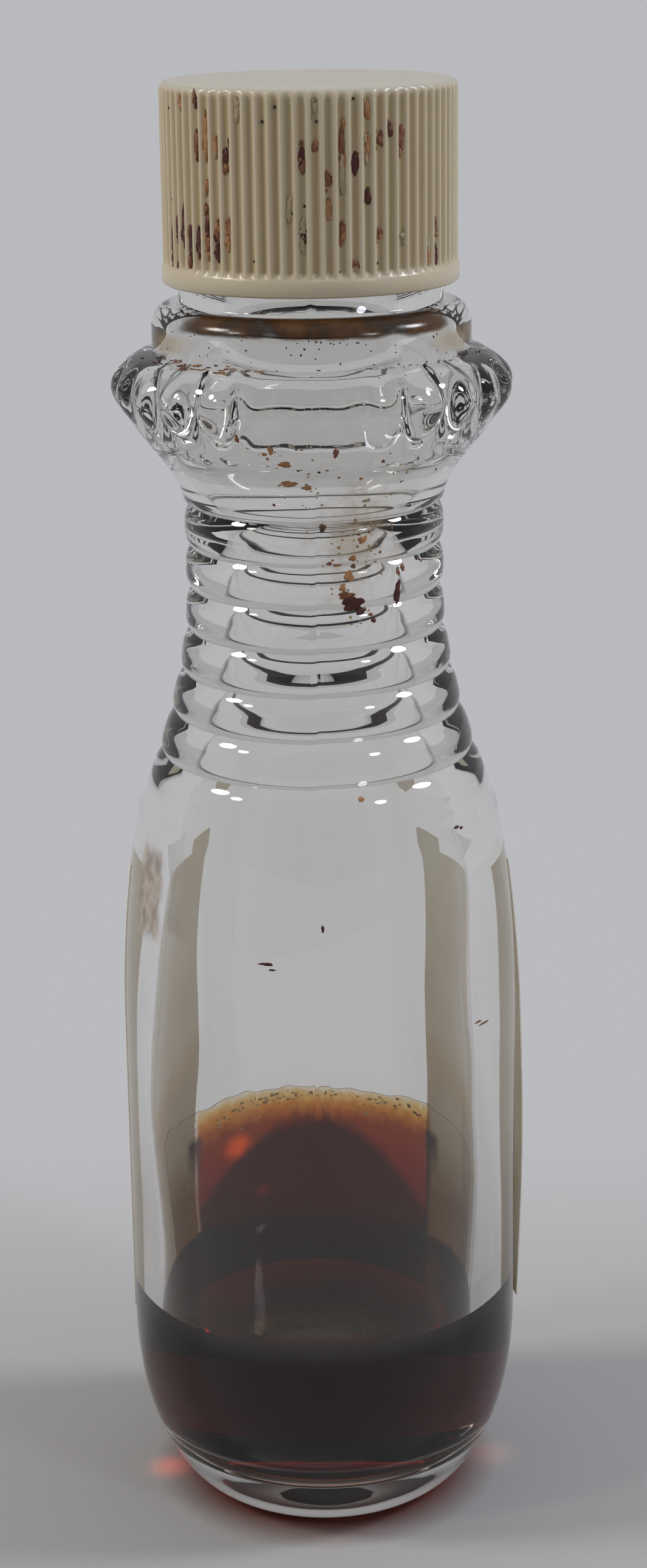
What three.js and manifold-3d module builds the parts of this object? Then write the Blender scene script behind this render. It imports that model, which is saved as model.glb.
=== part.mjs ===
// Small flavoring extract bottle: thick clear glass with a ringed neck and a
// beaded collar, a ribbed cream screw cap, the dark extract that is left in it
// and two narrow paper labels on its sides. Millimetres, +Z up, origin in the
// middle of the resting plane. The wide bare face of the glass looks along -Y.

import * as THREE from 'three';
import { mergeVertices } from 'three/addons/utils/BufferGeometryUtils.js';
import Module from 'manifold-3d';

// Driving dimensions
const SEGMENTS = 40;

// Body and shoulder of the glass
const BODY_RADIUS = 18.85;
const SHOULDER_START = 48;
const SHOULDER_DROP = 0.00205;
const SHOULDER_POWER = 2.2;

// Base and heel of the glass
const PUSH_UP = 0.9;
const REST_RING_IN = 8.8;
const REST_RING_OUT = 10.6;
const HEEL_HEIGHT = 18;
const HEEL_WIDTH = BODY_RADIUS - REST_RING_OUT;
const HEEL_POWER = 2;

// Seven stepped rings between the shoulder and the straight neck
const RING_COUNT = 7;
const RING_TOP = 97.3;
const RING_PITCH = 3.92;
const RING_DEPTH = 0.55;
const LAST_GROOVE_DEPTH = 0.15;
const NECK_RADIUS = 11.92;
const FLARE_START = 91;
const FLARE_RATE = 0.02885;
const FLARE_POWER = 1.711;

// Beaded collar
const COLLAR_START = 99.2;
const COLLAR_HEIGHT = 110.1;
const COLLAR_RADIUS = 17.6;
const BEAD_COUNT = 24;
const BEAD_RADIUS_AT = 16.4;
const BEAD_RADIAL = 1.95;
const BEAD_WIDE = 2.15;
const BEAD_TALL = 2.75;

// Plain ring under the cap, and the finish that the cap is screwed on
const LEDGE_RADIUS = 14.45;
const LEDGE_BOTTOM = 113.2;
const LEDGE_TOP = 117.5;
const FINISH_RADIUS = 11.9;
const FINISH_TOP = 135.1;

// Hollow of the glass, which swells out again inside the collar
const BASE_THICKNESS = 6;
const CAVITY_RADIUS = 15.6;
const CORNER_TOP = 14;
const CORNER_WIDTH = 7;
const BORE_RADIUS = 7.9;
const SHOULDER_MIDDLE = 72.5;
const SHOULDER_SPREAD = 6.3;
const SWELL_DEPTH = 4.6;
const SWELL_HEIGHT = 107.6;
const SWELL_SPREAD_BELOW = 8;
const SWELL_SPREAD_ABOVE = 4.7;

// Screw cap
const CAP_BOTTOM = 119.3;
const CAP_TOP = 136.9;
const CAP_GROOVE_RADIUS = 12.85;
const CAP_RIB_RADIUS = 13.2;
const CAP_BAND_RADIUS = 13.35;
const CAP_BAND_HEIGHT = 1.6;
const CAP_EDGE = 0.9;
const CAP_BORE = 12.2;
const CAP_PLATE = 1.5;
const RIB_COUNT = 72;

// Extract
const CLEARANCE = 0.3;
const LIQUID_LEVEL = 21.2;

// Two paper labels: angles are counted from +X towards +Y, in degrees
const LABEL_HEIGHT = 46.2;
const LABEL_THICKNESS = 0.3;
const LABEL_STEPS = 6;
const LABEL_ROWS = 6;
const LEFT_LABEL = { name: 'label_left', from: 141.4, to: 186, bottom: 18.4, lift: 0 };
const RIGHT_LABEL = { name: 'label_right', from: 0.5, to: 44.7, bottom: 17.8, lift: 0.5 };

// Solids from closed meshes, and back
const wasm = await Module();
wasm.setup();

/** Merge the shared corners of a geometry and drop the triangles with no area. */
function weld(geometry) {
  const bare = geometry.index ? geometry.toNonIndexed() : geometry.clone();
  bare.deleteAttribute('normal');
  bare.deleteAttribute('uv');
  const merged = mergeVertices(bare, 1e-4);
  const from = merged.index.array;
  const kept = [];
  for (let i = 0; i < from.length; i += 3) {
    const a = from[i];
    const b = from[i + 1];
    const c = from[i + 2];
    if (a !== b && b !== c && c !== a) {
      kept.push(a, b, c);
    }
  }
  merged.setIndex(kept);
  return merged;
}

/** Make a manifold solid from a closed geometry. */
function solid(geometry) {
  const welded = weld(geometry);
  const mesh = new wasm.Mesh({
    numProp: 3,
    vertProperties: new Float32Array(welded.attributes.position.array),
    triVerts: new Uint32Array(welded.index.array),
  });
  return new wasm.Manifold(mesh);
}

/** Make a geometry from a manifold solid. */
function geometryOf(manifold) {
  const mesh = manifold.getMesh();
  const geometry = new THREE.BufferGeometry();
  const position = new THREE.BufferAttribute(new Float32Array(mesh.vertProperties), 3);
  geometry.setAttribute('position', position);
  geometry.setIndex(Array.from(mesh.triVerts));
  geometry.computeVertexNormals();
  return geometry;
}

/** Revolve a profile of [radius, height] pairs about +Z. */
function turned(profile, segments = SEGMENTS) {
  const points = profile.map(([radius, height]) => new THREE.Vector2(radius, height));
  const geometry = new THREE.LatheGeometry(points, segments);
  geometry.rotateX(Math.PI / 2);
  return geometry;
}

/** Radius of the smooth outside below the rings, from the heel to the shoulder. */
function bodyRadius(z) {
  if (z < HEEL_HEIGHT) {
    const t = (HEEL_HEIGHT - z) / HEEL_HEIGHT;
    return BODY_RADIUS - HEEL_WIDTH * (1 - (1 - t ** HEEL_POWER) ** (1 / HEEL_POWER));
  }
  if (z > SHOULDER_START) {
    return BODY_RADIUS - SHOULDER_DROP * (z - SHOULDER_START) ** SHOULDER_POWER;
  }
  return BODY_RADIUS;
}

/** Radius over the crests of the neck rings. */
function neckRadius(z) {
  const flare = Math.max(0, FLARE_START - z);
  return NECK_RADIUS + FLARE_RATE * flare ** FLARE_POWER;
}

/** The seven rings from the lowest up: a groove, then a rounded crest. */
function ringProfile() {
  const profile = [];
  for (let i = 0; i <= RING_COUNT; i += 1) {
    const groove = RING_TOP - (RING_COUNT - i - 0.5) * RING_PITCH;
    const depth = i === 0 ? LAST_GROOVE_DEPTH : RING_DEPTH;
    profile.push([neckRadius(groove) - depth, groove]);
    if (i < RING_COUNT) {
      for (const part of [0.22, 0.5, 0.78]) {
        const z = groove + part * RING_PITCH;
        const dip = RING_DEPTH * (1 - Math.sin(Math.PI * part)) * 0.45;
        profile.push([neckRadius(z) - dip, z]);
      }
    }
  }
  return profile;
}

/** Radius of the collar without its beads: a flare up to its widest line, then a quarter round. */
function collarRadius(z) {
  if (z <= COLLAR_HEIGHT) {
    const rise = (z - COLLAR_START) / (COLLAR_HEIGHT - COLLAR_START);
    return NECK_RADIUS + (COLLAR_RADIUS - NECK_RADIUS) * (1 - Math.cos(Math.PI * rise)) * 0.5;
  }
  const t = (z - COLLAR_HEIGHT) / (LEDGE_BOTTOM - COLLAR_HEIGHT);
  return COLLAR_RADIUS - (COLLAR_RADIUS - LEDGE_RADIUS) * (1 - Math.sqrt(1 - t * t));
}

/** Radius of the hollow: a rounded floor corner, a straight wall, a shoulder and the swelling bore. */
function cavityRadius(z) {
  if (z < CORNER_TOP) {
    const t = (CORNER_TOP - z) / (CORNER_TOP - BASE_THICKNESS);
    return CAVITY_RADIUS - CORNER_WIDTH * (1 - Math.sqrt(1 - t * t));
  }
  const fall = 1 / (1 + Math.exp((z - SHOULDER_MIDDLE) / SHOULDER_SPREAD));
  const spread = z < SWELL_HEIGHT ? SWELL_SPREAD_BELOW : SWELL_SPREAD_ABOVE;
  const swell = SWELL_DEPTH * Math.exp(-(((z - SWELL_HEIGHT) / spread) ** 2));
  return BORE_RADIUS + (CAVITY_RADIUS - BORE_RADIUS) * fall + swell;
}

/** Evenly spaced numbers from one end to the other, both included. */
function steps(from, to, count) {
  return Array.from({ length: count + 1 }, (_, i) => from + ((to - from) * i) / count);
}

/** Outside of the glass, from the middle of the base up to the lip. */
function outerProfile() {
  const profile = [
    [0, PUSH_UP],
    [REST_RING_IN - 1.4, PUSH_UP * 0.6],
    [REST_RING_IN, 0],
  ];
  for (const part of steps(0, 1, 8)) {
    const z = HEEL_HEIGHT * part ** 2.2;
    profile.push([bodyRadius(z), z]);
  }
  for (const z of steps(SHOULDER_START, 69.3, 4)) {
    profile.push([bodyRadius(z), z]);
  }
  profile.push(...ringProfile());
  for (const z of steps(COLLAR_START + 1.3, COLLAR_HEIGHT, 6)) {
    profile.push([collarRadius(z), z]);
  }
  for (const z of steps(COLLAR_HEIGHT, LEDGE_BOTTOM, 3).slice(1)) {
    profile.push([collarRadius(z), z]);
  }
  profile.push([LEDGE_RADIUS, LEDGE_TOP - 1.9]);
  profile.push([LEDGE_RADIUS - 0.45, LEDGE_TOP - 0.75]);
  profile.push([LEDGE_RADIUS - 1.4, LEDGE_TOP - 0.1]);
  profile.push([FINISH_RADIUS, LEDGE_TOP]);
  profile.push([FINISH_RADIUS, FINISH_TOP - 0.4]);
  profile.push([FINISH_RADIUS - 0.4, FINISH_TOP]);
  return profile;
}

/** Wall of the hollow from the middle of its floor up to a height, pulled in by a gap. */
function cavityProfile(gap, top) {
  const profile = [[0, BASE_THICKNESS + gap]];
  for (const part of steps(0, 1, 6)) {
    const z = BASE_THICKNESS + (CORNER_TOP - BASE_THICKNESS) * part ** 2;
    profile.push([cavityRadius(z) - gap, z + gap]);
  }
  for (const z of [...steps(46, 96, 10), ...steps(99.5, 116, 8), top]) {
    if (z <= top) {
      profile.push([cavityRadius(z) - gap, z]);
    }
  }
  return profile;
}

/** Hollow glass with its ring of upright beads. */
function makeGlass() {
  const lip = [BORE_RADIUS + 0.5, FINISH_TOP];
  const profile = [...outerProfile(), lip, ...cavityProfile(0, FINISH_TOP - 0.5).reverse()];
  let glass = solid(turned(profile));
  for (let i = 0; i < BEAD_COUNT; i += 1) {
    const bead = new THREE.SphereGeometry(1, 8, 6);
    bead.rotateX(Math.PI / 2);
    bead.scale(BEAD_RADIAL, BEAD_WIDE, BEAD_TALL);
    bead.translate(BEAD_RADIUS_AT, 0, COLLAR_HEIGHT);
    bead.rotateZ(((i + 0.5) / BEAD_COUNT) * 2 * Math.PI);
    glass = glass.add(solid(bead));
  }
  return geometryOf(glass);
}

/** Outline of the ribbed skirt, three corners to a rib. */
function ribbedShape() {
  const shape = new THREE.Shape();
  const pitch = (2 * Math.PI) / RIB_COUNT;
  for (let i = 0; i < RIB_COUNT; i += 1) {
    for (const [part, radius] of [[0, CAP_GROOVE_RADIUS], [0.3, CAP_RIB_RADIUS], [0.7, CAP_RIB_RADIUS]]) {
      const angle = (i + part) * pitch;
      const x = radius * Math.cos(angle);
      const y = radius * Math.sin(angle);
      if (i === 0 && part === 0) {
        shape.moveTo(x, y);
      } else {
        shape.lineTo(x, y);
      }
    }
  }
  shape.closePath();
  return shape;
}

/** Hollow cap: ribbed skirt, plain band at its foot and a flat top with a rounded edge. */
function makeCap() {
  const ribTop = CAP_TOP - CAP_EDGE;
  const skirt = new THREE.ExtrudeGeometry(ribbedShape(), {
    depth: ribTop - CAP_BOTTOM - 0.5 * CAP_BAND_HEIGHT,
    bevelEnabled: false,
  });
  skirt.translate(0, 0, CAP_BOTTOM + 0.5 * CAP_BAND_HEIGHT);
  const core = turned([
    [0, CAP_BOTTOM],
    [CAP_BAND_RADIUS, CAP_BOTTOM],
    [CAP_BAND_RADIUS, CAP_BOTTOM + CAP_BAND_HEIGHT],
    [CAP_GROOVE_RADIUS - 0.05, CAP_BOTTOM + CAP_BAND_HEIGHT + 0.1],
    [CAP_GROOVE_RADIUS - 0.05, ribTop],
    [CAP_GROOVE_RADIUS - 0.3, CAP_TOP - 0.25],
    [CAP_GROOVE_RADIUS - 0.9, CAP_TOP],
    [0, CAP_TOP],
  ], 72);
  const bore = turned([
    [0, CAP_BOTTOM - 1],
    [CAP_BORE, CAP_BOTTOM - 1],
    [CAP_BORE, CAP_TOP - CAP_PLATE],
    [0, CAP_TOP - CAP_PLATE],
  ]);
  return geometryOf(solid(core).add(solid(skirt)).subtract(solid(bore)));
}

/** The extract, up to its flat surface. */
function makeExtract() {
  return weld(turned([...cavityProfile(CLEARANCE, LIQUID_LEVEL), [0, LIQUID_LEVEL]]));
}

/** Paper that follows the glass, with the edge at its first angle standing off by its lift. */
function makeLabel({ from, to, bottom, lift }) {
  const positions = [];
  const indices = [];
  const corner = (step, row, side) => (step * (LABEL_ROWS + 1) + row) * 2 + side;
  for (let step = 0; step <= LABEL_STEPS; step += 1) {
    const part = step / LABEL_STEPS;
    const angle = THREE.MathUtils.degToRad(from + part * (to - from));
    const near = Math.max(0, 1 - 2 * part) ** 2;
    for (let row = 0; row <= LABEL_ROWS; row += 1) {
      const z = bottom + (row / LABEL_ROWS) * LABEL_HEIGHT;
      const proud = lift * near * Math.sin(Math.PI * (row / LABEL_ROWS));
      for (const side of [0, 1]) {
        const radius = bodyRadius(z) + CLEARANCE + proud + side * LABEL_THICKNESS;
        positions.push(radius * Math.cos(angle), radius * Math.sin(angle), z);
      }
    }
  }
  const face = (a, b, c, d) => indices.push(a, b, c, a, c, d);
  for (let i = 0; i < LABEL_STEPS; i += 1) {
    for (let j = 0; j < LABEL_ROWS; j += 1) {
      face(corner(i, j, 1), corner(i + 1, j, 1), corner(i + 1, j + 1, 1), corner(i, j + 1, 1));
      face(corner(i, j, 0), corner(i, j + 1, 0), corner(i + 1, j + 1, 0), corner(i + 1, j, 0));
    }
    const top = LABEL_ROWS;
    face(corner(i, 0, 0), corner(i + 1, 0, 0), corner(i + 1, 0, 1), corner(i, 0, 1));
    face(corner(i, top, 1), corner(i + 1, top, 1), corner(i + 1, top, 0), corner(i, top, 0));
  }
  for (let j = 0; j < LABEL_ROWS; j += 1) {
    const end = LABEL_STEPS;
    face(corner(0, j, 0), corner(0, j, 1), corner(0, j + 1, 1), corner(0, j + 1, 0));
    face(corner(end, j, 1), corner(end, j, 0), corner(end, j + 1, 0), corner(end, j + 1, 1));
  }
  const geometry = new THREE.BufferGeometry();
  geometry.setAttribute('position', new THREE.Float32BufferAttribute(positions, 3));
  geometry.setIndex(indices);
  geometry.computeVertexNormals();
  return geometry;
}

/** One named piece with its own material. */
function piece(name, geometry, color, roughness) {
  const material = new THREE.MeshStandardMaterial({ color, roughness, metalness: 0 });
  const mesh = new THREE.Mesh(geometry, material);
  mesh.name = name;
  return mesh;
}

const bottle = new THREE.Group();
bottle.add(piece('glass_bottle', makeGlass(), 0xe6eceb, 0.04));
bottle.add(piece('screw_cap', makeCap(), 0xd8d0b6, 0.45));
bottle.add(piece('extract', makeExtract(), 0x3b1712, 0.1));
for (const label of [LEFT_LABEL, RIGHT_LABEL]) {
  bottle.add(piece(label.name, makeLabel(label), 0x9c9184, 0.85));
}

export default bottle;
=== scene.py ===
"""Small flavoring extract bottle: thick clear glass, ribbed cream cap, dark extract and two side labels.

Lengths in the classes are millimetres, heights run up from the surface the bottle stands on, and
azimuths are degrees round the bottle's axis, from 0 at the front (-Y) towards +X. Rules that move or
mark a mesh take its corners in millimetres, one row each.
"""

import logging
import math
import random
from abc import ABC, abstractmethod
from collections.abc import Callable, Iterator, Sequence
from contextlib import contextmanager
from dataclasses import dataclass
from enum import Enum

import bpy
import numpy as np
from mathutils import Matrix, Vector


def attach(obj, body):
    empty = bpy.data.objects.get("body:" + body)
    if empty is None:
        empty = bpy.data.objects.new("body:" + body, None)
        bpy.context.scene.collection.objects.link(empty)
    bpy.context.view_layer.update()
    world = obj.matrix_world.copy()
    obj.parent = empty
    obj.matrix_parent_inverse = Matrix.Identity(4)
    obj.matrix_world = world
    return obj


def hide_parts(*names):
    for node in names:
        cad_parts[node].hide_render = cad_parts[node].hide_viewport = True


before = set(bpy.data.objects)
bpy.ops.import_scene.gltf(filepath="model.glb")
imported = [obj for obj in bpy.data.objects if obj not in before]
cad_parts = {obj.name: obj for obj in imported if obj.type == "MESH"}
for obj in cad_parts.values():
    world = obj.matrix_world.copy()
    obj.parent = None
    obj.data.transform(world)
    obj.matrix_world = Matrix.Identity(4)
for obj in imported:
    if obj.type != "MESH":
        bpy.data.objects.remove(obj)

log = logging.getLogger("extract_bottle")

MM = 0.001
BODY = "root"

Piece = bpy.types.Object
Socket = bpy.types.NodeSocket
Outline = list[tuple[float, float]]
Triple = tuple[float, float, float]
Rgba = tuple[float, float, float, float]
Inputs = dict[str | int, object]
Stops = Sequence[tuple[float, str]]
Rule = Callable[[np.ndarray], np.ndarray]
SheetRule = Callable[[np.ndarray, np.ndarray], np.ndarray]


# Small helpers for operators and meshes


def pick(*pieces: Piece) -> None:
    """Select these objects alone and make the first one active.

    Args:
        *pieces: The objects, or none to leave nothing selected.
    """
    bpy.ops.object.select_all(action="DESELECT")
    for piece in pieces:
        piece.select_set(True)
    bpy.context.view_layer.objects.active = pieces[0] if pieces else None


@contextmanager
def editing(piece: Piece) -> Iterator[None]:
    """Edit a piece with all of its mesh selected, and go back to object mode afterwards.

    Args:
        piece: The object whose mesh is edited.

    Returns:
        A context that is in edit mode.
    """
    pick(piece)
    bpy.ops.object.mode_set(mode="EDIT")
    bpy.ops.mesh.select_all(action="SELECT")
    yield
    bpy.ops.object.mode_set(mode="OBJECT")


def named(name: str) -> Piece:
    """Give the newest object a name of its own and return it.

    Args:
        name: The name.

    Returns:
        The newest object.
    """
    piece = bpy.context.object
    piece.name = piece.data.name = name
    return piece


def turn_outline(name: str, outline: Outline, steps: int) -> Piece:
    """Draw an outline point by point and spin it about the bottle's axis into a closed mesh.

    Args:
        name: The new object's name.
        outline: Radius and height of each point, from the axis round and back to the axis.
        steps: How many segments the full turn has.

    Returns:
        The turned piece, with its faces pointing outwards.
    """
    pick()
    bpy.ops.mesh.primitive_plane_add(size=MM)
    piece = named(name)
    with editing(piece):
        bpy.ops.mesh.merge(type="CENTER")
        radius, height = outline[0]
        bpy.ops.transform.translate(value=(radius * MM, 0, height * MM))
        for next_radius, next_height in outline[1:]:
            step = ((next_radius - radius) * MM, 0, (next_height - height) * MM)
            bpy.ops.mesh.extrude_vertices_move(TRANSFORM_OT_translate={"value": step})
            radius, height = next_radius, next_height
        bpy.ops.mesh.select_all(action="SELECT")
        bpy.ops.mesh.spin(steps=steps, angle=math.tau, center=(0, 0, 0), axis=(0, 0, 1))
        bpy.ops.mesh.select_all(action="SELECT")
        bpy.ops.mesh.remove_doubles(threshold=0.002 * MM)
        bpy.ops.mesh.normals_make_consistent(inside=False)
    return piece


def lay_sheet(
    name: str,
    cells: tuple[int, int],
    lay: SheetRule,
    thickness: float,
    offset: float = 1.0,
    note: tuple[str, SheetRule] | None = None,
) -> Piece:
    """Lay a flat grid, wrap it on the bottle and thicken it.

    Args:
        name: The new object's name.
        cells: How many cells the grid has across and up.
        lay: Turns the places across and up the grid, from -1 to 1, into corners in millimetres.
        thickness: How thick the sheet gets.
        offset: 1 to thicken it outwards, -1 inwards.
        note: An attribute's name and its rule from the places across and up, for the material to read.

    Returns:
        The sheet, closed and smooth.
    """

    def across_and_up(rule: SheetRule) -> Rule:
        """Hand the grid's two directions to a rule, each from -1 to 1."""
        return lambda corners: rule(corners[:, 0] * MM, corners[:, 1] * MM)

    pick()
    bpy.ops.mesh.primitive_grid_add(x_subdivisions=cells[0], y_subdivisions=cells[1], size=2)
    sheet = named(name)
    if note:
        mark(sheet, note[0], across_and_up(note[1]))
    reshape(sheet, across_and_up(lay))
    modifier = sheet.modifiers.new("Thickness", "SOLIDIFY")
    modifier.thickness = thickness * MM
    modifier.offset = offset
    pick(sheet)
    bpy.ops.object.modifier_apply(modifier=modifier.name)
    with editing(sheet):
        bpy.ops.mesh.normals_make_consistent(inside=False)
    shade(sheet, 60)
    return sheet


def corners_of(piece: Piece) -> np.ndarray:
    """Read the corners of a piece's mesh in millimetres, one row each.

    Args:
        piece: The object whose mesh is read.

    Returns:
        The corners.
    """
    corners = np.empty(len(piece.data.vertices) * 3)
    piece.data.vertices.foreach_get("co", corners)
    return corners.reshape(-1, 3) / MM


def reshape(piece: Piece, move: Rule) -> None:
    """Move a piece's corners by a rule."""
    piece.data.vertices.foreach_set("co", (move(corners_of(piece)) * MM).ravel())
    piece.data.update()


def mark(piece: Piece, title: str, rule: Rule) -> None:
    """Note the number that a rule gives at every corner, for the material to read by its title."""
    noted = piece.data.attributes.new(title, "FLOAT", "POINT")
    noted.data.foreach_set("value", rule(corners_of(piece)).astype(np.float32))


def polar(corners: np.ndarray) -> tuple[np.ndarray, np.ndarray, np.ndarray]:
    """Turn corners into azimuth in radians, radius and height."""
    return np.arctan2(corners[:, 0], -corners[:, 1]), np.hypot(corners[:, 0], corners[:, 1]), corners[:, 2]


def cartesian(azimuth: np.ndarray, radius: np.ndarray, height: np.ndarray) -> np.ndarray:
    """Turn azimuth in radians, radius and height into corners."""
    return np.column_stack((radius * np.sin(azimuth), -radius * np.cos(azimuth), height))


def smooth_step(low: float, high: float, value: np.ndarray) -> np.ndarray:
    """Rise softly from 0 at the low value to 1 at the high one."""
    part = np.clip((value - low) / (high - low), 0, 1)
    return part * part * (3 - 2 * part)


def follow(surface: Callable[[float], float], heights: np.ndarray) -> np.ndarray:
    """Read a surface's radius at each of many heights."""
    return np.array([surface(height) for height in heights])


def quarter(share: float) -> float:
    """Follow a quarter of a circle from 0 to 1, level at its start."""
    share = min(1.0, max(0.0, share))
    return 1 - math.sqrt(1 - share * share)


def eased(low: float, high: float, rows: int = 24) -> list[float]:
    """Space heights as evenly along a quarter round, closest together at the low end."""
    return [low + (high - low) * (1 - math.cos(math.pi / 2 * i / rows)) for i in range(rows + 1)]


def rounding(radius: float, top: float, size: float, rows: int) -> Outline:
    """Draw the rounded edge between a wall of a radius and its top, from the wall inwards."""
    turns = [math.pi / 2 * i / rows for i in range(rows + 1)]
    return [(radius - size * (1 - math.cos(turn)), top - size * (1 - math.sin(turn))) for turn in turns]


def shade(piece: Piece, sharp_over: float) -> None:
    """Shade a piece smooth, but for edges sharper than an angle in degrees."""
    pick(piece)
    bpy.ops.object.shade_smooth_by_angle(angle=math.radians(sharp_over))


# Materials


def linear(hex_colour: str) -> Rgba:
    """Turn an sRGB hex colour, such as "#C8BEA0", into linear light with full cover.

    Args:
        hex_colour: Such as "#C8BEA0".

    Returns:
        Linear red, green, blue and full cover.
    """
    channels = [int(hex_colour[i : i + 2], 16) / 255 for i in (1, 3, 5)]
    light = [c / 12.92 if c <= 0.04045 else ((c + 0.055) / 1.055) ** 2.4 for c in channels]
    return light[0], light[1], light[2], 1.0


class Nodes:
    """The nodes of one material, or of the room's light, laid by what they do."""

    def __init__(self, owner: bpy.types.Material | bpy.types.World) -> None:
        """Clear the owner's node tree and work in it.

        Args:
            owner: What the nodes are for.
        """
        owner.use_nodes = True
        self.tree = owner.node_tree
        self.tree.nodes.clear()

    def add(self, kind: str, inputs: Inputs | None = None, **settings: object) -> bpy.types.Node:
        """Add a node with its settings, values and links.

        Args:
            kind: The node's type after "ShaderNode", such as "Math".
            inputs: A value, or the output to link from, for each named or numbered input.
            **settings: The node's properties.

        Returns:
            The new node.
        """
        node = self.tree.nodes.new(f"ShaderNode{kind}")
        for key, value in settings.items():
            setattr(node, key, value)
        for key, value in (inputs or {}).items():
            if isinstance(value, Socket):
                self.tree.links.new(value, node.inputs[key])
            else:
                node.inputs[key].default_value = value
        return node

    def place(self) -> Socket:
        """Give the point on the object, in metres."""
        return self.add("TexCoord").outputs["Object"]

    def axes(self) -> bpy.types.bpy_prop_collection:
        """Give the three parts of the point on the object, by the names X, Y and Z."""
        return self.add("SeparateXYZ", {0: self.place()}).outputs

    def attribute(self, title: str) -> Socket:
        """Give the number that is noted on the mesh under a title."""
        return self.add("Attribute", attribute_name=title).outputs["Fac"]

    def work(self, operation: str, *values: Socket | float) -> Socket:
        """Work a number out of others."""
        return self.add("Math", dict(enumerate(values)), operation=operation).outputs[0]

    def away(self, plane: str, middle: Triple = (0, 0, 0)) -> Socket:
        """Measure how far the point on the object is from a place, seen flat.

        Args:
            plane: The two axes to measure in, such as "XY".
            middle: The place in millimetres.

        Returns:
            The distance in metres.
        """
        axes = self.axes()
        flat = self.add("CombineXYZ", {axis: axes[axis] for axis in plane}).outputs[0]
        ends = {0: flat, 1: [part * MM for part in middle]}
        return self.add("VectorMath", ends, operation="DISTANCE").outputs["Value"]

    def noise(self, grain: float, detail: float = 3.0, stretch: float = 1.0) -> Socket:
        """Lay a noise whose lumps have a real size.

        Args:
            grain: Size of the lumps in millimetres.
            detail: How many finer layers the noise has.
            stretch: How much longer the lumps are upwards than across.

        Returns:
            The noise value, from 0 to 1.
        """
        spread = self.add("Mapping", {"Vector": self.place(), "Scale": (1, 1, 1 / stretch)}).outputs[0]
        inputs = {"Vector": spread, "Scale": 1 / (grain * MM), "Detail": detail}
        return self.add("TexNoise", inputs).outputs["Fac"]

    def ramp(self, value: Socket, stops: Stops) -> Socket:
        """Turn a value into a colour along a row of stops.

        Args:
            value: The value to read.
            stops: Position and hex colour of each stop, from the lowest up.

        Returns:
            The colour.
        """
        node = self.add("ValToRGB", {"Fac": value})
        elements = node.color_ramp.elements
        while len(elements) < len(stops):
            elements.new(0.5)
        for element, (position, colour) in zip(elements, stops):
            element.position = position
            element.color = linear(colour)
        return node.outputs["Color"]

    def between(self, value: Socket, start: float, end: float, most: float = 1.0) -> Socket:
        """Turn a value into a soft step that leaves 0 at the start and reaches its most at the end."""
        inputs = {"Value": value, "From Min": start, "From Max": end, "To Max": most}
        return self.add("MapRange", inputs, interpolation_type="SMOOTHSTEP").outputs[0]

    def mix(self, share: Socket, colour: Socket | str, other: Socket | str) -> Socket:
        """Blend a colour towards another one by a share, each given in hex or linked."""
        first, second = (linear(tone) if isinstance(tone, str) else tone for tone in (colour, other))
        return self.add("Mix", {0: share, 6: first, 7: second}, data_type="RGBA").outputs[2]

    def bump(self, height: Socket, depth: float) -> Socket:
        """Turn a height into a bumped normal, its full depth given in millimetres."""
        inputs = {"Height": height, "Distance": depth * MM, "Strength": 1.0}
        return self.add("Bump", inputs).outputs["Normal"]

    def surface(self, inputs: Inputs, volume: Socket | None = None) -> None:
        """Close the tree with one principled shader.

        Args:
            inputs: Values or links for the shader.
            volume: What fills the inside, if anything does.
        """
        ends = {"Surface": self.add("BsdfPrincipled", inputs).outputs["BSDF"]}
        if volume is not None:
            ends["Volume"] = volume
        self.add("OutputMaterial", ends)


class Finish(ABC):
    """A surface finish that turns into one material."""

    title: str

    def material(self) -> bpy.types.Material:
        """Build the material, or return it if it is there already.

        Returns:
            The material.
        """
        made = bpy.data.materials.get(self.title)
        if made is None:
            made = bpy.data.materials.new(self.title)
            self.lay(Nodes(made))
        return made

    @abstractmethod
    def lay(self, nodes: Nodes) -> None:
        """Lay the shader nodes of this finish.

        Args:
            nodes: The material's empty node tree.
        """


@dataclass(frozen=True)
class ClearGlass(Finish):
    """Soda-lime container glass, pressed and blown: clear, fire-polished, with a slow surface swell."""

    title: str = "Soda-lime glass, pressed and blown"
    tint: str = "#FAF9F7"
    wet_gloss: str = "#1C1C1C"
    ior: float = 1.52
    swell_size: float = 7.0
    swell_depth: float = 0.02

    def lay(self, nodes: Nodes) -> None:
        """Lay clear glass with a faint swell, which hardly mirrors where the liquid wets it."""
        swell = nodes.noise(self.swell_size, 1.0)
        nodes.surface({
            "Base Color": linear(self.tint),
            "Roughness": 0.0,
            "IOR": self.ior,
            "Specular Tint": nodes.ramp(nodes.attribute("wet"), [(0.0, "#FFFFFF"), (1.0, self.wet_gloss)]),
            "Transmission Weight": 1.0,
            "Normal": nodes.bump(swell, self.swell_depth),
        })


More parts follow.
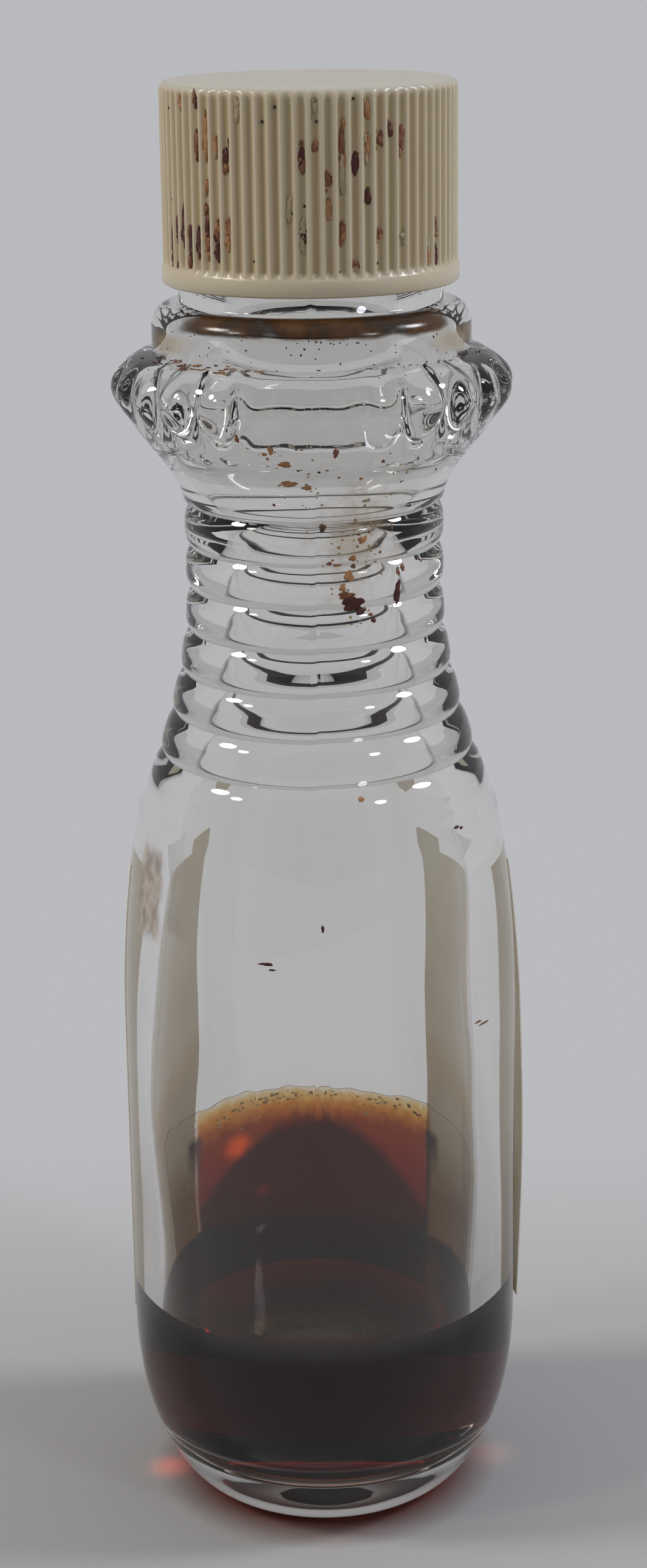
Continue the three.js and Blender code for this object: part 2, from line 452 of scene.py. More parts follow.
@dataclass(frozen=True)
class ExtractLiquid(Finish):
    """Vanilla-like extract: a clear liquid that is amber in a thin layer and almost black when deep."""

    title: str = "Dark extract, clear liquid"
    colour: str = "#F3CB7C"
    density: float = 1450.0
    ior: float = 1.36
    gloss: str = "#5E3434"

    def lay(self, nodes: Nodes) -> None:
        """Lay a clear surface over a liquid that takes out blue first, then green."""
        inside = nodes.add("VolumeAbsorption", {"Color": linear(self.colour), "Density": self.density})
        clear = {
            "Base Color": linear("#FFFFFF"),
            "Roughness": 0.0,
            "IOR": self.ior,
            "Specular Tint": nodes.ramp(nodes.attribute("wall"), [(0.0, "#FFFFFF"), (1.0, self.gloss)]),
            "Transmission Weight": 1.0,
        }
        nodes.surface(clear, inside.outputs["Volume"])


@dataclass(frozen=True)
class ExtractFilm(Finish):
    """Extract dried on the back wall: amber at its upper edge and a dark dome below, with painted red light
    at its foot and in two patches.
    """

    title: str = "Dried extract film, amber to dark"
    low_edge: float = 23.0
    upper_edge: float = 35.4
    ragged_by: float = 1.9
    ragged_grain: float = 0.9
    tones: Stops = (
        (0.0, "#6E1C10"), (0.45, "#86220E"), (0.72, "#8E3A10"), (0.82, "#AC5C1C"),
        (0.91, "#D08A34"), (0.97, "#E6BE74"), (1.0, "#F6ECD8"),
    )  # fmt: skip
    dome_top: float = 31.3
    dome_curve: float = 0.052
    dome_side: float = -0.8
    dome_soft: float = 1.0
    dome_colour: str = "#3E0A0A"
    foot: tuple[float, float] = (23.0, 26.0)
    red_light_colour: str = "#3C0806"
    thin_from: float = 51.0
    thin_to: float = 55.0
    thin_colour: str = "#BE9A84"
    line_low: float = 26.5
    line_high: float = 32.6
    line_colour: str = "#5A4038"
    gloss: str = "#505050"

    def lay(self, nodes: Nodes) -> None:
        """Lay an amber tint with a wide dark dome, painted red light at its foot and in two patches, a dark
        line on each side and thin brown beyond.
        """
        axes = nodes.axes()
        side = nodes.attribute("side")
        ragged = nodes.noise(self.ragged_grain, 5.0)
        uneven = nodes.work("MULTIPLY_ADD", ragged, self.ragged_by * MM, axes["Z"])
        shift = 0.5 * self.ragged_by
        height = nodes.between(uneven, (self.low_edge + shift) * MM, (self.upper_edge + shift) * MM)
        # Painted light: a bright orange patch where a beam through the extract falls on the film.
        colour = self.painted_glow(nodes, nodes.ramp(height, self.tones), (-8.9, 0, 29.4), 1.9, "#EC5A14")
        across = nodes.work("SUBTRACT", axes["X"], self.dome_side * MM)
        square = nodes.work("MULTIPLY", across, across)
        arch = nodes.work("MULTIPLY_ADD", square, self.dome_curve / MM, uneven)
        top = self.dome_top + shift
        in_dome = nodes.between(arch, (top + self.dome_soft) * MM, (top - self.dome_soft) * MM)
        # Painted red light: below the foot's heights the dome turns redder, standing in for light through the
        # extract.
        low, high = self.foot
        above_red_light = nodes.between(axes["Z"], low * MM, high * MM)
        colour = nodes.mix(in_dome, colour, nodes.mix(above_red_light, self.red_light_colour, self.dome_colour))
        # Painted light: a faint red patch from a beam through the extract.
        colour = self.painted_glow(nodes, colour, (-6.1, 0, 23.9), 1.1, "#6E2014")
        veil = nodes.ramp(height, [(0.1, self.thin_colour), (0.8, "#FFFFFF")])
        colour = nodes.mix(nodes.between(side, self.thin_from, self.thin_to), colour, veil)
        colour = nodes.mix(self.side_line(nodes, side, axes["Z"]), colour, self.line_colour)
        nodes.surface({
            "Base Color": colour,
            "Roughness": 0.05,
            "IOR": 1.42,
            "Specular Tint": linear(self.gloss),
            "Transmission Weight": 1.0,
            "Normal": nodes.bump(ragged, 0.08),
        })

    @staticmethod
    def painted_glow(nodes: Nodes, colour: Socket, middle: Triple, radius: float, bright: str) -> Socket:
        """Paint a soft patch of light on the film about one place, standing in for a beam through the
        extract.

        Args:
            nodes: The material's node tree.
            colour: The colour to change.
            middle: The patch's place in millimetres.
            radius: The patch's radius in millimetres.
            bright: Hex colour in its middle.

        Returns:
            The changed colour.
        """
        share = nodes.between(nodes.away("XZ", middle), radius * MM, 0.1 * radius * MM)
        return nodes.mix(share, colour, bright)

    def side_line(self, nodes: Nodes, side: Socket, height: Socket) -> Socket:
        """Lay the dark line on each side of the film, over a part of its height.

        Args:
            nodes: The material's node tree.
            side: Degrees from the middle of the back.
            height: Height in metres.

        Returns:
            The line's share, from 0 to 1.
        """
        share = nodes.between(side, self.thin_to + 5, self.thin_to)
        for value, start, end in (
            (side, self.thin_from - 3, self.thin_from + 1),
            (height, self.line_low * MM, (self.line_low + 5) * MM),
            (height, self.line_high * MM, (self.line_high - 1.2) * MM),
        ):
            share = nodes.work("MULTIPLY", share, nodes.between(value, start, end))
        return share


@dataclass(frozen=True)
class MouldedPlastic(Finish):
    """Injection-moulded polypropylene: cream, softly glossy, tan towards the bottom of the grooves."""

    title: str = "Cream polypropylene, injection moulded"
    clean: str = "#C8C2B2"
    ridge: str = "#CDC0A6"
    groove: str = "#AF9B76"
    groove_radius: float = 12.86
    ridge_radius: float = 13.2
    top: float = 136.9

    def lay(self, nodes: Nodes) -> None:
        """Lay cream plastic that darkens towards the bottom of its grooves, with faint mottling."""
        depth = nodes.between(nodes.away("XY"), self.groove_radius * MM, self.ridge_radius * MM, 0.5)
        mottle = nodes.noise(4.0, 4.0, 2.0)
        # Darker tan towards the bottom of each groove, with mottling.
        groove_and_mottle = nodes.work("MULTIPLY_ADD", mottle, 0.2, depth)
        # Towards the top edge and over the top the colour turns to the clean cream.
        top_share = nodes.between(nodes.axes()["Z"], (self.top - 1.3) * MM, (self.top - 0.2) * MM, 0.8)
        tones = [(0.05, self.groove), (0.6, self.ridge), (0.8, self.clean)]
        roughness = nodes.add("MapRange", {"Value": mottle, "To Min": 0.18, "To Max": 0.34})
        nodes.surface({
            "Base Color": nodes.ramp(nodes.work("MAXIMUM", groove_and_mottle, top_share), tones),
            "Roughness": roughness.outputs[0],
            "IOR": 1.49,
            "Subsurface Weight": 0.2,
            "Subsurface Radius": (1.0, 0.8, 0.5),
            "Subsurface Scale": 0.0008,
            "Normal": nodes.bump(nodes.noise(0.35, 2.0), 0.006),
        })


@dataclass(frozen=True)
class DriedExtract(Finish):
    """Extract dried into a crust: dull at its thin edges and slightly glossy where it is thick."""

    title: str
    deep: str
    light: str
    roughness: float

    def lay(self, nodes: Nodes) -> None:
        """Lay a mottled crust with a fine rough surface."""
        lumps = nodes.noise(0.5, 4.0)
        nodes.surface({
            "Base Color": nodes.ramp(lumps, [(0.3, self.deep), (0.7, self.light)]),
            "Roughness": self.roughness,
            "IOR": 1.45,
            "Normal": nodes.bump(lumps, 0.06),
        })


@dataclass(frozen=True)
class StainedHaze(Finish):
    """Thin dried residue: a dull patchy veil that breaks up towards its edges."""

    title: str
    dark: str
    pale: str
    cover: float
    patch_size: float
    stretch: float = 1.0
    roughness: float = 0.45

    def lay(self, nodes: Nodes) -> None:
        """Lay a see-through stain, its cover broken by noise and faded by the piece's own attribute."""
        patches = nodes.noise(self.patch_size, 5.0, self.stretch)
        filled = nodes.work("MULTIPLY_ADD", nodes.attribute("fade"), 0.75, patches)
        nodes.surface({
            "Base Color": nodes.ramp(patches, [(0.35, self.dark), (0.65, self.pale)]),
            "Roughness": self.roughness,
            "IOR": 1.4,
            "Alpha": nodes.between(filled, 0.7, 1.3, self.cover),
            "Normal": nodes.bump(patches, 0.04),
        })


@dataclass(frozen=True)
class LabelPaper(Finish):
    """Aged label paper: uncoated, matte, with a fine fibre mottle."""

    title: str = "Label paper, uncoated and aged"
    pale: str = "#F0E9DD"
    dark: str = "#E1D8C9"
    fibre: float = 0.6

    def lay(self, nodes: Nodes) -> None:
        """Lay matte paper with slow yellowing and fine fibres."""
        nodes.surface({
            "Base Color": nodes.ramp(nodes.noise(9.0, 4.0), [(0.3, self.dark), (0.7, self.pale)]),
            "Roughness": 0.85,
            "IOR": 1.45,
            "Subsurface Weight": 0.6,
            "Subsurface Radius": (1.0, 0.9, 0.75),
            "Subsurface Scale": 0.0004,
            "Normal": nodes.bump(nodes.noise(self.fibre, 3.0, 2.5), 0.02),
        })


@dataclass(frozen=True)
class PaleBoard(Finish):
    """Matt studio board, painted pale grey, that the bottle stands on."""

    title: str = "Studio board, matt grey paint"
    far: str = "#C5C6C8"
    # Painted shade: the colour close in front of the bottle, and where the darkening runs from and to.
    painted_shade_front: str = "#B4B3B3"
    shade_from: float = 85.0
    shade_to: float = 15.0
    # Painted shadow and red light under the heel: its colour and its ring's radii.
    painted_glow: str = "#6E3C32"
    painted_glow_ring: tuple[float, ...] = (9.0, 10.6, 12.5, 17.5)

    def lay(self, nodes: Nodes) -> None:
        """Lay a matt grey with painted shade that deepens towards the front, a painted ring of reddish shadow
        and light through the extract about the heel, and a barely visible tooth.
        """
        # Painted shade: the board darkens towards the front.
        front_shade_share = nodes.between(nodes.axes()["Y"], self.shade_from * MM, self.shade_to * MM)
        colour = nodes.ramp(front_shade_share, [(0.0, self.far), (1.0, self.painted_shade_front)])
        # Painted shadow and red light through the extract, in a ring about the heel.
        reach = self.painted_glow_ring[-1] * MM
        tones = ("#000000", "#FFFFFF", "#FFFFFF", "#000000")
        stops = [(radius * MM / reach, tone) for radius, tone in zip(self.painted_glow_ring, tones)]
        in_painted_glow = nodes.ramp(nodes.work("DIVIDE", nodes.away("XY"), reach), stops)
        nodes.surface({
            "Base Color": nodes.mix(in_painted_glow, colour, self.painted_glow),
            "Roughness": 0.8,
            "Specular IOR Level": 0.2,
            "Normal": nodes.bump(nodes.noise(2.0, 3.0), 0.02),
        })


class Tone(Enum):
    """How thick a dried drop or smear of extract is, which sets its finish."""

    DARK = DriedExtract("Dried extract, dark crust", "#34100C", "#5A2A20", 0.5)
    BROWN = DriedExtract("Dried extract, brown smear", "#683826", "#8E6044", 0.6)
    ORANGE = DriedExtract("Dried extract, orange smear", "#93623A", "#B0855C", 0.6)
    FAINT = DriedExtract("Dried extract, faint smear", "#9C8A68", "#AE9E80", 0.5)
    SPECK = DriedExtract("Dried extract, black speck", "#120B0A", "#2A1C18", 0.6)
    AMBER = DriedExtract("Dried extract, amber beads", "#B4843C", "#E4CE9C", 0.08)


def dress(piece: Piece, finish: Finish, slot: str, *nodes: str) -> Piece:
    """Give a piece its finish and tie it to the bottle.

    Args:
        piece: The piece to dress.
        finish: Its surface finish.
        slot: The record's material slot that it belongs to; not used.
        *nodes: The solids that it stands for.

    Returns:
        The dressed piece.
    """
    piece.data.materials.clear()
    piece.data.materials.append(finish.material())
    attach(piece, BODY)
    if nodes:
        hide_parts(*nodes)
    faces = sum(len(face.vertices) - 2 for face in piece.data.polygons)
    log.info("%s: %d triangles, finish %s", piece.name, faces, finish.title)
    return piece


# The glass


@dataclass(frozen=True)
class GlassShape:
    """Sizes of the glass, and the radii that its own and its neighbours' surfaces follow."""

    push_up: float = 0.9
    rest_ring_in: float = 8.8
    rest_ring_out: float = 10.6
    heel_height: float = 18.0
    body_radius: float = 18.85
    shoulder_start: float = 48.0
    shoulder_drop: float = 0.00205
    shoulder_power: float = 2.2
    ring_count: int = 7
    ring_top: float = 97.3
    ring_pitch: float = 3.92
    ring_depth: float = 0.55
    last_groove_depth: float = 0.15
    neck_radius: float = 11.92
    flare_start: float = 91.0
    flare_rate: float = 0.02885
    flare_power: float = 1.711
    collar_start: float = 99.2
    collar_height: float = 110.1
    collar_radius: float = 17.6
    bead_count: int = 24
    bead_turn: float = 3.0
    bead_radius_at: float = 16.4
    bead_relief: float = 0.65
    bead_wide: float = 2.1
    bead_tall: float = 2.9
    bead_swell: float = 1.5
    bead_least: float = 0.15
    beads_grow: tuple[float, float] = (12.0, 44.0)
    ledge_radius: float = 14.45
    ledge_bottom: float = 113.2
    ledge_top: float = 117.5
    ledge_round: float = 1.9
    finish_radius: float = 11.9
    finish_top: float = 135.1
    base_thickness: float = 5.0
    cavity_radius: float = 15.6
    corner_top: float = 14.0
    corner_width: float = 7.0
    bore_radius: float = 7.9
    shoulder_middle: float = 72.5
    shoulder_spread: float = 6.3
    bulge: float = 4.6
    bulge_height: float = 107.6
    bulge_below: float = 8.0
    bulge_above: float = 4.7
    lean: float = -0.45
    lean_fades: tuple[float, float] = (50.0, 68.0)
    ripple: float = 0.03
    waves: tuple[Triple, ...] = ((2, 0.11, 0.4), (3, 0.23, 2.1), (1, 0.31, 4.4), (5, 0.17, 1.3))
    true_above: tuple[float, float] = (100.0, 112.0)

    def below_rings(self, z: float) -> float:
        """Radius of the smooth outside from the heel to the shoulder.

        Args:
            z: Height in millimetres.

        Returns:
            The radius.
        """
        heel = (self.body_radius - self.rest_ring_out) * quarter((self.heel_height - z) / self.heel_height)
        over = max(0.0, z - self.shoulder_start)
        return self.body_radius - heel - self.shoulder_drop * over**self.shoulder_power

    def crest(self, z: float) -> float:
        """Radius over the crests of the neck rings."""
        return self.neck_radius + self.flare_rate * max(0.0, self.flare_start - z) ** self.flare_power

    def ring_bottom(self) -> float:
        """Height of the lowest groove, where the smooth shoulder ends."""
        return self.ring_top - (self.ring_count - 0.5) * self.ring_pitch

    def ring_surface(self, z: float) -> float:
        """Radius of the stepped rings, with a rounded crest between narrow grooves.

        Args:
            z: Height in millimetres.

        Returns:
            The radius.
        """
        turn = (z - self.ring_bottom()) / self.ring_pitch
        index = min(self.ring_count - 1, max(0, int(turn)))
        part = min(1.0, max(0.0, turn - index))
        lowest = index == 0 and part < 0.5
        depth = self.last_groove_depth if lowest else self.ring_depth
        return self.crest(z) - depth * abs(2 * part - 1) ** 3

    def collar(self, z: float) -> float:
        """Radius of the collar without its beads: a flare, then a quarter round.

        Args:
            z: Height in millimetres.

        Returns:
            The radius.
        """
        if z <= self.collar_height:
            rise = (z - self.collar_start) / (self.collar_height - self.collar_start)
            wide = self.collar_radius - self.neck_radius
            return self.neck_radius + wide * (1 - math.cos(math.pi * max(0.0, rise))) * 0.5
        share = (z - self.collar_height) / (self.ledge_bottom - self.collar_height)
        return self.collar_radius - (self.collar_radius - self.ledge_radius) * quarter(share)

    def outside(self, z: float) -> float:
        """Radius of the outside at a height below the finish.

        Args:
            z: Height in millimetres.

        Returns:
            The radius.
        """
        if z < self.ring_bottom():
            return self.below_rings(z)
        if z < self.ring_top + 0.5 * self.ring_pitch:
            return self.ring_surface(z)
        if z < self.ledge_bottom:
            return self.collar(z)
        over = (z - self.ledge_top + self.ledge_round) / self.ledge_round
        return self.ledge_radius - self.ledge_round * quarter(over)

    def cavity(self, z: float) -> float:
        """Radius of the hollow: a rounded floor, a straight wall, a shoulder and a swelling in the bore.

        Args:
            z: Height in millimetres.

        Returns:
            The radius.
        """
        if z < self.corner_top:
            share = (self.corner_top - z) / (self.corner_top - self.base_thickness)
            return self.cavity_radius - self.corner_width * quarter(share)
        fall = 1 / (1 + math.exp((z - self.shoulder_middle) / self.shoulder_spread))
        spread = self.bulge_below if z < self.bulge_height else self.bulge_above
        swell = self.bulge * math.exp(-(((z - self.bulge_height) / spread) ** 2))
        return self.bore_radius + (self.cavity_radius - self.bore_radius) * fall + swell

    def off_floor(self, z: np.ndarray) -> np.ndarray:
        """Rise from 0 on the floor of the hollow to 1 where its wall begins."""
        return smooth_step(self.base_thickness + 0.3, self.base_thickness + 1.5, z)

    def waver(self, corners: np.ndarray) -> np.ndarray:
        """Lean and ripple the hollow, as blown glass does, and leave its floor and lip true.

        Args:
            corners: Corners of the hollow's wall, in millimetres.

        Returns:
            The moved corners.
        """
        azimuth, radius, z = polar(corners)
        fade = smooth_step(self.base_thickness, self.corner_top, z) * (1 - smooth_step(*self.true_above, z))
        swell = np.zeros_like(z)
        for turns, wave, phase in self.waves:
            swell += np.sin(turns * azimuth + wave * z + phase)
        moved = cartesian(azimuth, radius + self.ripple * fade * swell, z)
        moved[:, 0] += self.lean * fade * (1 - smooth_step(*self.lean_fades, z))
        return moved


@dataclass
class GlassBottle:
    """The clear glass: body, ringed neck, beaded collar, ledge and finish in one piece."""

    shape: GlassShape
    steps: int = 288
    liquid_level: float = 21.2
    seam_ridge: float = 0.07
    seam_wide: float = 0.7
    seam_slip: float = 0.05
    ring_rows: int = 12

    def build(self) -> Piece:
        """Turn the glass, raise its beads and mould seam, waver its hollow and dress it.

        Returns:
            The dressed glass.
        """
        glass = turn_outline("glass", self.outer_outline() + self.inner_outline(), self.steps)
        reshape(glass, self.raise_beads)
        reshape(glass, self.mark_seam)
        mark(glass, "wet", self.wetted)
        reshape(glass, self.waver_hollow)
        shade(glass, 50)
        return dress(glass, ClearGlass(), "clear_glass", "glass_bottle")

    def outer_outline(self) -> Outline:
        """Draw the outside from the middle of the base up to the lip.

        Returns:
            Radius and height of each point.
        """
        s = self.shape
        outline: Outline = [
            (0.0, s.push_up),
            (3.5, s.push_up * 0.97),
            (s.rest_ring_in - 1.6, s.push_up * 0.62),
            (s.rest_ring_in - 0.6, s.push_up * 0.2),
            (s.rest_ring_in, 0.0),
            (s.rest_ring_out - 0.5, 0.0),
        ]
        rows = range(s.ring_count * self.ring_rows + 1)
        rings = [s.ring_bottom() + i * s.ring_pitch / self.ring_rows for i in rows]
        beads_from = s.collar_height - 4
        for surface, heights in (
            (s.below_rings, eased(0, s.heel_height)),
            (s.below_rings, np.linspace(s.heel_height, s.shoulder_start, 9)[1:]),
            (s.below_rings, np.linspace(s.shoulder_start, s.ring_bottom(), 20)[1:-1]),
            (s.ring_surface, rings),
            (s.collar, np.linspace(rings[-1], beads_from, 14)[1:]),
            (s.collar, np.linspace(beads_from, s.ledge_bottom, 32)[1:]),
            (s.outside, np.linspace(s.ledge_bottom, s.ledge_top - s.ledge_round, 6)[1:-1]),
        ):
            outline += [(surface(z), z) for z in heights]
        outline += rounding(s.ledge_radius, s.ledge_top, s.ledge_round, 10)
        outline += [(s.finish_radius + 0.25, s.ledge_top), (s.finish_radius, s.ledge_top + 0.25)]
        outline += [(s.finish_radius, z) for z in np.linspace(s.ledge_top + 0.25, s.finish_top - 0.4, 6)[1:]]
        return outline + [(s.finish_radius - 0.4, s.finish_top)]

    def inner_outline(self) -> Outline:
        """Draw the hollow from the lip down to the middle of its floor.

        Returns:
            Radius and height of each point.
        """
        s = self.shape
        heights = (
            *np.linspace(s.finish_top - 4, 122, 4),
            *np.linspace(122, 92, 48)[1:],
            *np.linspace(92, s.corner_top, 46)[1:],
            *reversed(eased(s.base_thickness, s.corner_top)[:-1]),
        )
        lip: Outline = [(s.bore_radius + 0.5, s.finish_top), (s.bore_radius, s.finish_top - 0.5)]
        floor: Outline = [(5.0, s.base_thickness), (0.0, s.base_thickness)]
        return lip + [(s.cavity(z), z) for z in heights] + floor

    @staticmethod
    def from_seam(azimuth: np.ndarray) -> np.ndarray:
        """Tell how many degrees each corner is from the nearer mould seam, in front or at the back."""
        return np.abs((np.degrees(azimuth) + 90) % 180 - 90)

    def raise_beads(self, corners: np.ndarray) -> np.ndarray:
        """Push the collar out into upright beads, flatter towards the two mould seams.

        Args:
            corners: The piece's corners.

        Returns:
            The moved corners.
        """
        s = self.shape
        azimuth, radius, z = polar(corners)
        pitch = math.tau / s.bead_count
        off = (azimuth - math.radians(s.bead_turn) + pitch / 2) % pitch - pitch / 2
        inside = 1 - (s.bead_radius_at * off / s.bead_wide) ** 2 - ((z - s.collar_height) / s.bead_tall) ** 2
        rise = s.bead_relief * np.clip(inside, 0, None) ** s.bead_swell
        strength = s.bead_least + (1 - s.bead_least) * smooth_step(*s.beads_grow, self.from_seam(azimuth))
        on_collar = (radius > s.neck_radius) & (z < s.ledge_bottom + 0.01)
        return cartesian(azimuth, radius + np.where(on_collar, strength * rise, 0), z)

    def mark_seam(self, corners: np.ndarray) -> np.ndarray:
        """Raise the thin line where the mould halves meet, and slip one half's rings a little.

        Args:
            corners: The piece's corners.

        Returns:
            The moved corners.
        """
        s = self.shape
        azimuth, radius, z = polar(corners)
        seam = self.from_seam(azimuth)
        outer = (radius > s.bore_radius + 1.5) & (z > 40) & (z < s.ledge_top)
        outer &= radius > follow(s.cavity, z) + 1
        ridge = self.seam_ridge * np.exp(-((seam / self.seam_wide) ** 2))
        slip = self.seam_slip * np.sign(azimuth) * smooth_step(0.3, 1.6, seam)
        in_rings = (z > s.ring_bottom() + 0.5) & (z < s.collar_height - 5)
        return cartesian(azimuth, radius + np.where(outer, ridge, 0), z + np.where(outer & in_rings, slip, 0))

    def in_hollow(self, corners: np.ndarray) -> np.ndarray:
        """Tell which corners are on the wall or floor of the hollow."""
        _, radius, z = polar(corners)
        return (radius <= follow(self.shape.cavity, z) + 0.02) & (z > self.shape.base_thickness - 0.01)

    def wetted(self, corners: np.ndarray) -> np.ndarray:
        """Mark with 1 the wall of the hollow under the liquid, but not its floor, which mirrors the base."""
        under = corners[:, 2] < self.liquid_level - 0.3
        return (self.in_hollow(corners) & under) * self.shape.off_floor(corners[:, 2])

    def waver_hollow(self, corners: np.ndarray) -> np.ndarray:
        """Lean and ripple the wall of the hollow only."""
        return np.where(self.in_hollow(corners)[:, None], self.shape.waver(corners), corners)


# The cap


@dataclass
class ScrewCap:
    """Ribbed cap with a plain band at its foot."""

    bottom: float = 119.3
    top: float = 136.9
    groove_radius: float = 12.85
    rib_radius: float = 13.22
    band_radius: float = 13.35
    band_height: float = 1.6
    edge: float = 0.9
    bore: float = 12.2
    plate: float = 1.5
    rib_count: int = 72
    rib_turn: float = 2.3
    steps_per_rib: int = 8

    def build(self) -> Piece:
        """Turn the cap, cut its ribs and dress it.

        Returns:
            The dressed cap.
        """
        cap = turn_outline("cap", self.outline(), self.rib_count * self.steps_per_rib)
        reshape(cap, self.cut_ribs)
        shade(cap, 50)
        return dress(cap, MouldedPlastic(), "cream_plastic", "screw_cap")

    def outline(self) -> Outline:
        """Draw the cap's section from the middle of its inside, round its foot and up to its top.

        Returns:
            Radius and height of each point.
        """
        inside = self.top - self.plate
        band_top = self.bottom + self.band_height
        return [
            (0.0, inside),
            (self.bore - 0.4, inside),
            (self.bore, inside - 0.4),
            (self.bore, self.bottom + 0.3),
            (self.bore + 0.25, self.bottom),
            (self.band_radius - 0.2, self.bottom),
            (self.band_radius, self.bottom + 0.2),
            (self.band_radius, band_top - 0.15),
            (self.band_radius - 0.1, band_top),
            *((self.rib_radius, z) for z in np.linspace(band_top + 0.1, self.top - self.edge, 30)[:-1]),
            *rounding(self.rib_radius, self.top, self.edge, 8),
            (6.0, self.top - 0.04),
            (0.0, self.top - 0.05),
        ]

    def cut_ribs(self, corners: np.ndarray) -> np.ndarray:
        """Sink rounded grooves between the ribs, which run out at the top edge and stop at the band.

        Args:
            corners: The piece's corners.

        Returns:
            The moved corners.
        """
        azimuth, radius, z = polar(corners)
        wave = 0.5 + 0.5 * np.cos(self.rib_count * (azimuth - math.radians(self.rib_turn)))
        band_top = self.bottom + self.band_height
        run = smooth_step(band_top, band_top + 0.5, z) * (1 - smooth_step(self.top - 1.1, self.top - 0.1, z))
        skirt = (radius > self.bore + 0.3) & (z > band_top)
        depth = (self.rib_radius - self.groove_radius) * wave**0.8 * run
        return cartesian(azimuth, radius - np.where(skirt, depth, 0), z)


# What the bottle holds


@dataclass
class Extract:
    """The liquid, which reaches just into the glass, and the film dried on the back wall above it."""

    shape: GlassShape
    level: float = 21.2
    dip: float = 0.5
    meniscus: float = 0.9
    into_wall: float = 0.05
    steps: int = 144
    film_top: float = 34.8
    film_bottom: float = 9.0
    film_left: float = 78.0
    film_right: float = 90.0
    film_thickness: float = 0.2
    film_ragged: float = 0.4
    film_end_fall: float = 0.9
    film_end_from: float = 0.92
    waves: tuple[int, ...] = (3, 5, 8, 13, 21, 34, 47, 60)
    seed: int = 11

    def build(self) -> list[Piece]:
        """Build and dress the liquid and its film.

        Returns:
            The two pieces.
        """
        liquid = turn_outline("extract_liquid", self.outline(), self.steps)
        mark(liquid, "wall", lambda corners: self.shape.off_floor(corners[:, 2]))
        reshape(liquid, self.shape.waver)
        shade(liquid, 60)
        note = ("side", lambda across, up: np.abs(across) * self.film_reach(across))
        film = lay_sheet("extract_film", (200, 60), self.lay_film, self.film_thickness, -1.0, note)
        return [
            dress(liquid, ExtractLiquid(), "dark_extract", "extract"),
            dress(film, ExtractFilm(), "dark_extract"),
        ]

    def outline(self) -> Outline:
        """Draw the liquid from the middle of its floor, up the wall and over its surface.

        Returns:
            Radius and height of each point.
        """
        s = self.shape
        floor = s.base_thickness - self.into_wall
        outline: Outline = [(0.0, floor), (5.0, floor)]
        corner = eased(s.base_thickness, s.corner_top)
        for i, z in enumerate(corner):
            sunk = self.into_wall * (1 - i / (len(corner) - 1))
            outline.append((s.cavity(z) + self.into_wall, z - sunk))
        for z in np.linspace(s.corner_top, self.level, 9)[1:]:
            outline.append((s.cavity(z) + self.into_wall, z))
        for i in range(1, 17):
            inward = 5.0 * (i / 16) ** 2
            sag = self.dip * (1 - math.exp(-inward / self.meniscus))
            outline.append((s.cavity(self.level) - inward, self.level - sag))
        return outline + [(4.0, self.level - self.dip), (0.0, self.level - self.dip)]

    def lay_film(self, across: np.ndarray, up: np.ndarray) -> np.ndarray:
        """Wrap the flat film on the back wall and give it a ragged upper edge.

        Args:
            across: Place round the bottle, from -1 to 1.
            up: Place up the wall, from -1 to 1.

        Returns:
            The film's corners.
        """
        azimuth = math.pi - np.radians(self.film_reach(across)) * across
        fall = self.film_end_fall * smooth_step(self.film_end_from, 1.0, np.abs(across))
        top = self.film_top + self.film_ragged * self.ragged(across) - fall
        z = self.film_bottom + (top - self.film_bottom) * (up + 1) / 2
        return self.shape.waver(cartesian(azimuth, follow(self.shape.cavity, z) + self.into_wall, z))

    def film_reach(self, across: np.ndarray) -> np.ndarray:
        """Tell how many degrees the film reaches from the middle of the back to its left or right end."""
        return np.where(across > 0, self.film_right, self.film_left)

    def ragged(self, across: np.ndarray) -> np.ndarray:
        """Draw the uneven line that the film's upper edge dried to, as a sum of seeded waves.

        Args:
            across: Place round the bottle, from -1 to 1.

        Returns:
            How far the edge is off its level, as a share.
        """
        rng = random.Random(self.seed)
        line = np.zeros_like(across)
        for turns in self.waves:
            line += np.sin(turns * across + rng.uniform(0, math.tau)) * rng.uniform(0.5, 1.0) * turns**-0.35
        return line * 0.7


# The labels


@dataclass
class SideLabel:
    """A narrow strip of label paper glued upright to one side of the glass."""

    shape: GlassShape
    name: str
    node: str
    front: float
    back: float
    bottom: float
    lift: float = 0.0
    height: float = 46.2
    thickness: float = 0.14
    glue_depth: float = 0.03
    lift_at: float = 35.0
    lift_spread: float = 13.8
    curl_share: float = 0.5

    def build(self) -> Piece:
        """Lay the paper on the side of the glass and dress it."""
        label = lay_sheet(self.name, (40, 100), self.lay, self.thickness)
        return dress(label, LabelPaper(), "label_paper", self.node)

    def lay(self, across: np.ndarray, up: np.ndarray) -> np.ndarray:
        """Wrap the flat paper on the glass, with the front edge standing off by its lift.

        Args:
            across: Place round the bottle, from -1 to 1.
            up: Place up the bottle, from -1 to 1.

        Returns:
            The paper's corners.
        """
        share = (1 - across if self.front < 0 else 1 + across) / 2
        azimuth = np.radians(self.front + (self.back - self.front) * share)
        z = self.bottom + self.height * (up + 1) / 2
        curl = np.clip(1 - share / self.curl_share, 0, 1) ** 2
        off = self.lift * curl * np.exp(-(((z - self.lift_at) / self.lift_spread) ** 2) / 2)
        return cartesian(azimuth, follow(self.shape.outside, z) - self.glue_depth + off, z)


# Dried drops and stains


@dataclass(frozen=True)
class Spot:
    """One dried drop: where it is on the surface, how big it is and how dark."""

    azimuth: float
    z: float
    wide: float
    tall: float
    tone: Tone


